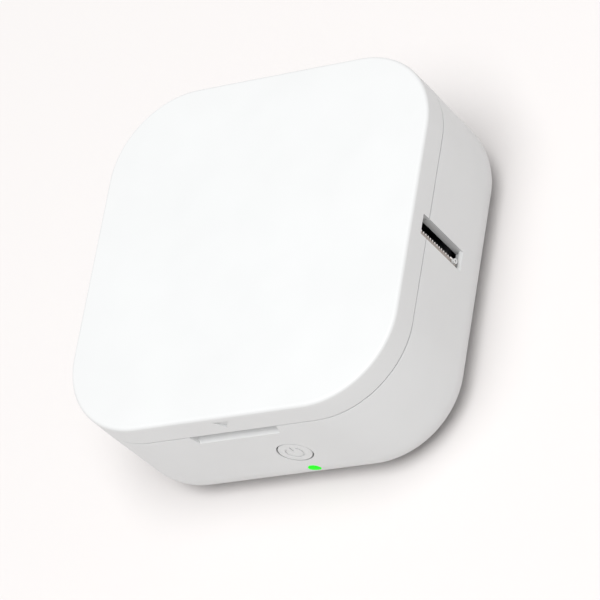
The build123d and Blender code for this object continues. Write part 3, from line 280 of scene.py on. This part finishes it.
@dataclass(frozen=True)
class Finish:
    """One real material and how its surface was made.

    grain is the pattern's real size in mm, drawn no finer than it needs to show, and relief its height
    in mm. shade is the colour of the pattern's darker places, and centre is the axis that turned or
    wound patterns go round, in mm.
    """

    name: str
    colour: str
    shade: str
    pattern: Pattern
    roughness: float
    grain: float
    relief: float
    spread: float = 0.05
    metallic: float = 0.0
    ior: float = 1.5
    coat: float = 0.0
    centre: tuple[float, float, float] = (0.0, 0.0, 0.0)
    glow: float = 0.0
    specular: float = 0.5

    def build(self) -> bpy.types.Material:
        """Makes the material.

        Returns:
            A node material on Object coordinates.
        """
        material = bpy.data.materials.new(self.name)
        material.use_nodes = True
        tree = material.node_tree
        shader = tree.nodes["Principled BSDF"]
        place = add_node(tree, "ShaderNodeTexCoord").outputs["Object"]
        moved = add_node(
            tree,
            "ShaderNodeMapping",
            {"vector_type": "POINT"},
            {"Vector": place, "Location": [-c * MM for c in self.centre]},
        ).outputs["Vector"]
        height, mask = self.surface(tree, moved)
        stops = [(SHADE_END, linear(self.shade)), (COLOUR_START, linear(self.colour))]
        colour = ramp(tree, mask, stops)
        tree.links.new(colour, shader.inputs["Base Color"])
        rough = add_node(
            tree,
            "ShaderNodeMapRange",
            inputs={
                "Value": mask,
                "To Min": self.roughness + self.spread,
                "To Max": self.roughness - self.spread,
            },
        )
        tree.links.new(rough.outputs["Result"], shader.inputs["Roughness"])
        bump = add_node(
            tree,
            "ShaderNodeBump",
            inputs={"Strength": 1.0, "Distance": self.relief * MM, "Height": height},
        )
        tree.links.new(bump.outputs["Normal"], shader.inputs["Normal"])
        shader.inputs["Metallic"].default_value = self.metallic
        if self.metallic == 0:
            shader.inputs["IOR"].default_value = self.ior
        shader.inputs["Coat Weight"].default_value = self.coat
        shader.inputs["Specular IOR Level"].default_value = self.specular
        if self.glow:
            shader.inputs["Emission Color"].default_value = linear(self.colour)
            shader.inputs["Emission Strength"].default_value = self.glow
        return material

    def surface(
        self, tree: bpy.types.NodeTree, place: bpy.types.NodeSocket
    ) -> tuple[bpy.types.NodeSocket, bpy.types.NodeSocket]:
        """Makes the finish's own pattern.

        Args:
            tree: Node tree that takes the pattern.
            place: Object coordinates in metres, from the finish's centre.

        Returns:
            The height output, for the bump, and the mask output, from 0 to 1, for colour and roughness.
        """
        per_metre = 1 / (self.grain * MM)
        if self.pattern is Pattern.BOARD:
            tracks = add_node(
                tree,
                "ShaderNodeTexBrick",
                {"offset": 0.37, "offset_frequency": 3, "squash": 0.7},
                {
                    "Vector": place,
                    "Scale": per_metre / TRACK_GRAINS,
                    "Mortar Size": 0.06,
                    "Mortar Smooth": 0.3,
                },
            ).outputs["Fac"]
            return tracks, add_node(
                tree,
                "ShaderNodeMath",
                {"operation": "MULTIPLY_ADD"},
                {0: tracks, 1: TRACK_GAIN, 2: BOARD_BASE},
            ).outputs["Value"]
        stretched = add_node(
            tree,
            "ShaderNodeMapping",
            {"vector_type": "POINT"},
            {"Vector": place, "Scale": STRETCH.get(self.pattern, UNSTRETCHED)},
        ).outputs["Vector"]
        fine = add_node(
            tree,
            "ShaderNodeTexNoise",
            inputs={"Vector": stretched, "Scale": per_metre, "Detail": 3.0, "Roughness": 0.55},
        ).outputs["Fac"]
        if self.pattern in (Pattern.RINGS, Pattern.TRACKS):
            # one wave a grain, as rings round the centre's upright axis or as bands along X
            wave = {"wave_type": "BANDS", "bands_direction": "X", "wave_profile": "SIN"}
            if self.pattern is Pattern.RINGS:
                wave = {"wave_type": "RINGS", "rings_direction": "Z", "wave_profile": "SIN"}
            waves = add_node(
                tree,
                "ShaderNodeTexWave",
                wave,
                {"Vector": place, "Scale": per_metre * WAVE_SCALE, "Distortion": 0.6, "Detail": 2.0},
            ).outputs["Fac"]
            return waves, blend(tree, waves, fine, WAVE_NOISE)
        if self.pattern is Pattern.PAINTED_HIGHLIGHT_EDGE:
            # 0 below the centre's y and 1 above it, roughened by the streaks; 1 is the painted highlight
            # near white on the blade's teeth
            along = add_node(tree, "ShaderNodeSeparateXYZ", inputs={"Vector": place}).outputs["Y"]
            edge = add_node(
                tree,
                "ShaderNodeMapRange",
                inputs={"Value": along, "From Min": -EDGE_HALF * MM, "From Max": EDGE_HALF * MM},
            ).outputs["Result"]
            return fine, blend(tree, edge, fine, EDGE_NOISE)
        if self.pattern is Pattern.CREASES:
            creases = add_node(
                tree,
                "ShaderNodeTexVoronoi",
                {"feature": "DISTANCE_TO_EDGE"},
                {"Vector": place, "Scale": per_metre},
            ).outputs["Distance"]
            return creases, fine
        slow = add_node(
            tree,
            "ShaderNodeTexNoise",
            inputs={"Vector": place, "Scale": per_metre / SLOW_GRAINS, "Detail": 2.0},
        ).outputs["Fac"]
        return fine, slow


# The axis of the label roll and of the motor, and the line past which the blade's teeth get a painted
# highlight, in mm
ROLL_AXIS = (-11.0, 2.0, 0.0)
MOTOR_AXIS = (22.5, -19.5, 0.0)
TEETH_HIGHLIGHT_LINE = (0.0, -0.58, 0.0)

# Finishes, one for each material slot of the record
FINISHES: dict[str, Finish] = {
    # ABS moulded in a spark-eroded tool: near white, a fine even grain and a soft satin sheen
    "white_plastic": Finish(
        "moulded_white_abs", "DDDEDE", "DADBDB", Pattern.GRAIN, 0.42, 0.35, 0.004, 0.03, ior=1.53
    ),
    # ABS from the same tool, a touch smoother where fingers press
    "button_plastic": Finish(
        "polished_white_abs", "DDDEDE", "D9DADA", Pattern.GRAIN, 0.38, 0.35, 0.003, 0.03, ior=1.53
    ),
    # ABS straight from a plain tool: flat, slightly greyer inside
    "liner_plastic": Finish(
        "moulded_liner_abs", "E0E1E1", "D8D9D9", Pattern.GRAIN, 0.5, 0.5, 0.006, 0.05, ior=1.53
    ),
    # ABS with flow marks inside: pale grey and matt
    "frame_plastic": Finish(
        "moulded_frame_abs", "D3D5D6", "C9CCCD", Pattern.GRAIN, 0.52, 0.5, 0.008, 0.06, ior=1.53
    ),
    # glass-filled nylon: black, dull, with fibres just under the skin
    "black_plastic": Finish(
        "moulded_black_nylon", "1E1F21", "141517", Pattern.GRAIN, 0.5, 0.4, 0.01, 0.08
    ),
    # unfilled nylon connector bodies: ivory and slightly waxy
    "ivory_plastic": Finish(
        "moulded_ivory_nylon", "E9E2CE", "DDD4BC", Pattern.GRAIN, 0.45, 0.4, 0.006, 0.05
    ),
    # acetal gears: milky white, smooth and slippery looking
    "acetal": Finish(
        "moulded_acetal", "F2EFE4", "E6E2D4", Pattern.GRAIN, 0.3, 0.5, 0.003, 0.05, ior=1.48
    ),
    # green acrylic lit from behind: its end glows evenly and hides any reflection
    "green_lens": Finish(
        "lit_green_acrylic", "0CE803", "0ADC02", Pattern.GRAIN, 0.5, 0.6, 0.002, 0.03,
        ior=1.49, glow=0.45, specular=0.1,
    ),
    # lamp package of clear epoxy on white
    "led_white": Finish(
        "cast_lamp_epoxy", "EFF5EA", "D9E6CF", Pattern.GRAIN, 0.25, 0.4, 0.002, glow=0.6
    ),
    # glass-epoxy board under green solder mask, with tracks that stand up a little
    "green_board": Finish(
        "green_solder_mask", "0F6B3A", "0B4F2C", Pattern.BOARD, 0.32, 1.0, 0.03, 0.06, coat=0.3
    ),
    # aluminium laminate pouch: silvery, with shallow creases
    "battery_foil": Finish(
        "laminate_pouch", "C9CBCF", "B4B7BC", Pattern.CREASES, 0.34, 6.0, 0.12, 0.08, metallic=0.85
    ),
    # PVC lead insulation: red and softly shiny
    "red_lead": Finish("extruded_red_pvc", "C4231B", "A81A14", Pattern.GRAIN, 0.38, 0.5, 0.004, 0.05),
    # polyimide flexible circuit: amber and glossy, with copper tracks at half a mm
    "amber_ribbon": Finish(
        "polyimide_film", "C98A2E", "8F4F16", Pattern.TRACKS, 0.22, 0.5, 0.01, 0.04, coat=0.4
    ),
    # plated steel screws, pins and shafts: bright, very slightly uneven where the plating lies
    "steel": Finish(
        "plated_steel", "C2C3C6", "A5A7AB", Pattern.GRAIN, 0.28, 0.3, 0.004, 0.06, metallic=1.0
    ),
    # zinc-plated sheet: pale, streaked along the rolling direction
    "zinc_steel": Finish(
        "rolled_zinc_sheet", "C6C9CC", "ADB1B6", Pattern.STREAKS, 0.36, 0.3, 0.005, 0.07, metallic=1.0
    ),
    # stamped stainless blade: brownish grey from the side, with a painted highlight, near white, along
    # its teeth
    "blade_steel": Finish(
        "stainless_painted_highlight", "F7F5F1", "A59D97", Pattern.PAINTED_HIGHLIGHT_EDGE, 0.36, 0.2, 0.003, 0.06,
        metallic=0.6, centre=TEETH_HIGHLIGHT_LINE,
    ),
    # nickel-plated shells: bright with a warm cast
    "nickel": Finish(
        "nickel_plate", "D8D4CC", "C4BFB6", Pattern.STREAKS, 0.22, 0.3, 0.002, 0.05, metallic=1.0
    ),
    # milled aluminium: pale, with fine parallel cutter marks
    "bare_aluminium": Finish(
        "milled_aluminium", "D3D5D8", "BEC1C5", Pattern.STREAKS, 0.33, 0.25, 0.006, 0.06, metallic=1.0
    ),
    # glazed alumina strip: cream, with a glassy face
    "head_ceramic": Finish(
        "glazed_alumina", "E6DFCB", "D8CFB6", Pattern.GRAIN, 0.18, 0.8, 0.002, 0.04, ior=1.6
    ),
    # turned brass pinion: yellow, with tool rings drawn at half a mm, wider than real ones, so they show
    "brass": Finish(
        "turned_brass", "D1A95A", "B68D43", Pattern.RINGS, 0.28, 0.5, 0.003, 0.05,
        metallic=1.0, centre=MOTOR_AXIS,
    ),
    # silicone rubber ground to size: black, with a fine nap
    "black_rubber": Finish(
        "ground_silicone_rubber", "232323", "161616", Pattern.GRAIN, 0.72, 0.25, 0.02, 0.08
    ),
    # coated label tape: white, and off-white where the edges of its turns show on the roll's side; the
    # real turns are 0.15 mm, drawn at 0.8 mm so that they show
    "label_paper": Finish(
        "coated_label_paper", "DAD9D4", "B5B1A6", Pattern.RINGS, 0.6, 0.8, 0.02, 0.05, centre=ROLL_AXIS
    ),
    # card core: brown kraft, with its plies showing at the ends
    "core_card": Finish(
        "wound_kraft_card", "C9A879", "AF8C5E", Pattern.RINGS, 0.8, 0.5, 0.04, 0.05, centre=ROLL_AXIS
    ),
}


@dataclass
class SubAssembly:
    """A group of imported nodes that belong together, each kept in shape and given its own finish."""

    nodes: tuple[str, ...] = ()
    smooth_degrees: float = 30.0
    merge_mm: float = 0.0004

    def build(self, materials: dict[str, bpy.types.Material]) -> None:
        """Replaces each node by a merged copy with smooth shading, in its slot's material.

        Args:
            materials: Materials by slot name.
        """
        for node in self.nodes:
            self.dress(self.merged_copy(node), node, materials)

    def merged_copy(self, node: str) -> bpy.types.Object:
        """Copies a node with its doubles merged and its normals smooth up to an angle.

        Args:
            node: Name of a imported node.

        Returns:
            The copy, linked to the scene at the origin.
        """
        mesh = frame["nodes"][node].data.copy()
        mesh.name = f"dressed_{node}"
        soften(mesh, self.smooth_degrees, self.merge_mm)
        piece = bpy.data.objects.new(mesh.name, mesh)
        bpy.context.scene.collection.objects.link(piece)
        return piece

    def dress(
        self, piece: bpy.types.Object, node: str, materials: dict[str, bpy.types.Material]
    ) -> None:
        """Gives a piece the finish and the body of the node that it stands for.

        Args:
            piece: The piece.
            node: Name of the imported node.
            materials: Materials by slot name.
        """
        subparts = frame["record"]["subparts"]
        slot = next(part["material_slot"] for part in subparts if part["node"] == node)
        piece.data.materials.clear()
        piece.data.materials.append(materials[slot])
        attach(piece, frame["nodes"][node]["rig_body"])
        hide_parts(node)
        LOG.info("%s: %d faces in %s", piece.name, len(piece.data.polygons), slot)


@dataclass
class Case(SubAssembly):
    """The tub, the lid with its liner and hinge pin, and the inner frame with its screws."""

    nodes: tuple[str, ...] = (
        "base_shell", "lid_shell", "lid_liner", "hinge_pin", "inner_frame", "frame_screws",
    )


@dataclass
class Controls(SubAssembly):
    """The power button with its switch, and the lamp with its light pipe."""

    nodes: tuple[str, ...] = (
        "power_button", "tact_switch", "switch_plunger", "button_board", "status_led", "light_pipe",
    )


@dataclass
class ExitSlot(SubAssembly):
    """The tear blade and its stud."""

    nodes: tuple[str, ...] = ("tear_blade", "blade_stud")


@dataclass
class LabelRoll(SubAssembly):
    """The tape, wound in turns on its card core.

    turn is the pitch of the turns in mm, wider than the real 0.15 mm so that they show, crown how far a
    turn's middle stands above the groove beside it in mm, edge_points the points across one turn, and
    segments the points on each ring. Edges that turn less than tape_smooth degrees are shaded smooth.
    """

    nodes: tuple[str, ...] = ("roll_core",)
    turn: float = 0.8
    crown: float = 0.12
    edge_points: int = 6
    segments: int = 128
    tape_smooth: float = 50.0
    tape: str = "label_tape"

    def build(self, materials: dict[str, bpy.types.Material]) -> None:
        """Dresses the core and winds the tape.

        Args:
            materials: Materials by slot name.
        """
        super().build(materials)
        low, high = (np.array(corner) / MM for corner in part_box(self.tape))
        core_low, core_high = (np.array(corner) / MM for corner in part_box("roll_core"))
        inner, outer = (core_high[0] - core_low[0]) / 2, (high[0] - low[0]) / 2
        profile = self.wound_profile(inner, outer, low[2], high[2])
        points, faces = revolved(profile, (low + high)[:2] / 2, self.segments)
        self.dress(new_piece("wound_tape", points, faces, self.tape_smooth), self.tape, materials)

    def wound_profile(self, inner: float, outer: float, low: float, high: float) -> np.ndarray:
        """Draws half a section of the roll.

        Across one turn, with t from 0 to 1, the tape's edge is at high - crown (2 t - 1)^4, so each turn
        has a flat middle and a groove on each side. The lower side is the same shape upside down.

        Args:
            inner: Radius of the core, in mm.
            outer: Radius of the roll, in mm.
            low: Height of the roll's lower side, in mm.
            high: Height of its upper side, in mm.

        Returns:
            Rows of radius and height in mm, going up on the outside.
        """
        turns = max(1, round((outer - inner) / self.turn))
        radii = np.linspace(inner, outer, turns * self.edge_points + 1)
        across = np.linspace(0.0, turns, turns * self.edge_points + 1) % 1.0
        drop = self.crown * (2 * across - 1) ** 4
        lower = np.stack([radii, low + drop], axis=-1)
        upper = np.stack([radii[::-1], high - drop[::-1]], axis=-1)
        return np.concatenate([lower, upper])


@dataclass
class PrintMechanism(SubAssembly):
    """The plate and bracket with the platen, its gears and its motor."""

    nodes: tuple[str, ...] = (
        "mechanism_plate", "mechanism_bracket", "plate_screws", "platen_shaft", "platen_roller",
        "platen_bushes", "platen_gear", "idler_gear", "idler_axle", "drive_motor", "motor_shaft",
        "motor_pinion", "motor_screws",
    )


@dataclass
class PrintHead(SubAssembly):
    """The thermal head on its heat sink, with pivot pin, spring, ribbon and label sensor."""

    nodes: tuple[str, ...] = (
        "thermal_head", "heat_sink", "head_pivot_pin", "head_spring", "head_ribbon", "sensor_board",
        "label_sensor",
    )


@dataclass
class Electronics(SubAssembly):
    """The main board with what it carries, and the battery."""

    nodes: tuple[str, ...] = (
        "main_board", "board_chips", "board_connectors", "board_screws", "radio_module", "usb_socket",
        "battery", "battery_leads", "motor_ribbon",
    )


@dataclass
class Studio:
    """Pale floor, one soft light and the camera at the photograph's angle.

    camera_mm is where the camera stands, and right, up and back are its own directions. lens and sensor
    are in mm, and all other lengths in metres.
    """

    camera_mm: tuple[float, float, float] = (445.6433, -384.7077, 608.0285)
    right: tuple[float, float, float] = (0.83607187, 0.15362672, -0.5266713)
    up: tuple[float, float, float] = (0.1312265, 0.87612609, 0.46387787)
    back: tuple[float, float, float] = (0.5326945, -0.45694847, 0.71234448)
    lens: float = 238.5955
    sensor: float = 36.0
    nearest: float = 0.01
    farthest: float = 50.0
    floor_half: float = 3.0
    floor_colour: str = "DFDCDB"
    floor_roughness: float = 0.95
    world_level: float = 0.50
    key_place: tuple[float, float, float] = (0.26, -0.34, 1.9)
    key_size: float = 1.5
    key_watts: float = 39.0

    def camera(self) -> None:
        """Sets the camera where the photograph's outline, seam, slot and button place it."""
        data = bpy.data.cameras.new("studio_camera")
        data.lens = self.lens
        data.sensor_width = self.sensor
        data.clip_start = self.nearest
        data.clip_end = self.farthest
        camera = bpy.data.objects.new("studio_camera", data)
        turn = Matrix((self.right, self.up, self.back)).transposed().to_4x4()
        camera.matrix_world = Matrix.Translation([c * MM for c in self.camera_mm]) @ turn
        bpy.context.scene.collection.objects.link(camera)
        bpy.context.scene.camera = camera

    def floor(self) -> None:
        """Lays a flat pale sheet at the height of the object's underside."""
        half = self.floor_half
        corners = [(-half, -half, 0.0), (half, -half, 0.0), (half, half, 0.0), (-half, half, 0.0)]
        mesh = bpy.data.meshes.new("studio_floor")
        mesh.from_pydata(corners, [], [(0, 1, 2, 3)])
        floor = bpy.data.objects.new("studio_floor", mesh)
        bpy.context.scene.collection.objects.link(floor)
        material = bpy.data.materials.new("studio_sheet")
        material.use_nodes = True
        shader = material.node_tree.nodes["Principled BSDF"]
        shader.inputs["Base Color"].default_value = linear(self.floor_colour)
        shader.inputs["Roughness"].default_value = self.floor_roughness
        shader.inputs["Specular IOR Level"].default_value = 0.0
        mesh.materials.append(material)

    def soft_light(self, name: str, place: Sequence[float], size: float, watts: float) -> None:
        """Adds a square soft box that looks at the object.

        Args:
            name: Name of the light.
            place: Where it stands, in metres.
            size: Side of the box, in metres.
            watts: Its power.
        """
        data = bpy.data.lights.new(name, "AREA")
        data.size = size
        data.energy = watts
        light = bpy.data.objects.new(name, data)
        light.location = place
        light.rotation_euler = (-Vector(place)).to_track_quat("-Z", "Y").to_euler()
        bpy.context.scene.collection.objects.link(light)

    def lights(self) -> None:
        """One large soft box, high on the camera's side, over an even pale surround."""
        world = bpy.data.worlds.new("studio_world")
        world.use_nodes = True
        background = world.node_tree.nodes["Background"]
        background.inputs["Color"].default_value = linear("FFFFFF")
        background.inputs["Strength"].default_value = self.world_level
        bpy.context.scene.world = world
        self.soft_light("key_box", self.key_place, self.key_size, self.key_watts)

    def build(self) -> None:
        """Sets up the stage."""
        scene = bpy.context.scene
        scene.view_settings.view_transform = "Standard"
        self.camera()
        self.floor()
        self.lights()
        LOG.info("studio ready")


def main() -> None:
    """Builds the scene: the stage, then each sub-assembly in its real finishes."""
    logging.basicConfig(level=logging.INFO, format="%(name)s: %(message)s")
    Studio().build()
    materials = {slot: finish.build() for slot, finish in FINISHES.items()}
    for part in (
        Case(), Controls(), ExitSlot(), LabelRoll(), PrintMechanism(), PrintHead(), Electronics(),
    ):
        part.build(materials)
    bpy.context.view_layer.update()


if __name__ == "__main__":
    main()
